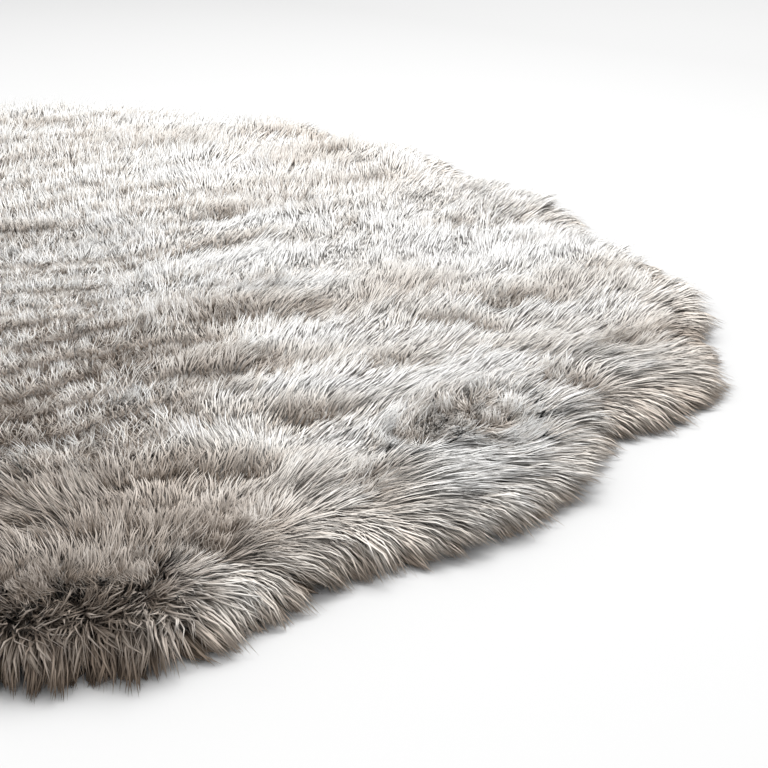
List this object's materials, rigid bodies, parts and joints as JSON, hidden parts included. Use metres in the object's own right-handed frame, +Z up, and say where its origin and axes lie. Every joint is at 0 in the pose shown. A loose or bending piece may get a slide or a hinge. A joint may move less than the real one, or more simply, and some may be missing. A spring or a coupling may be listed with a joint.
{
  "type": "shag rug",
  "caption": "Flat shag rug in long soft pile with a scalloped edge, lying on the floor.",
  "frame": {"origin": "on the floor under the middle of the rug's outline", "axes": "+Z up out of the pile, +Y from the front edge to the back edge, +X to the right"},
  "size_m": [1.6492, 1.8732, 0.0553],
  "materials": {
    "pile": "long combed pile, taupe grey, matt with a soft sheen"
  },
  "bodies": {
    "root": {"shag_rug": "pile"}
  },
  "joints": []
}
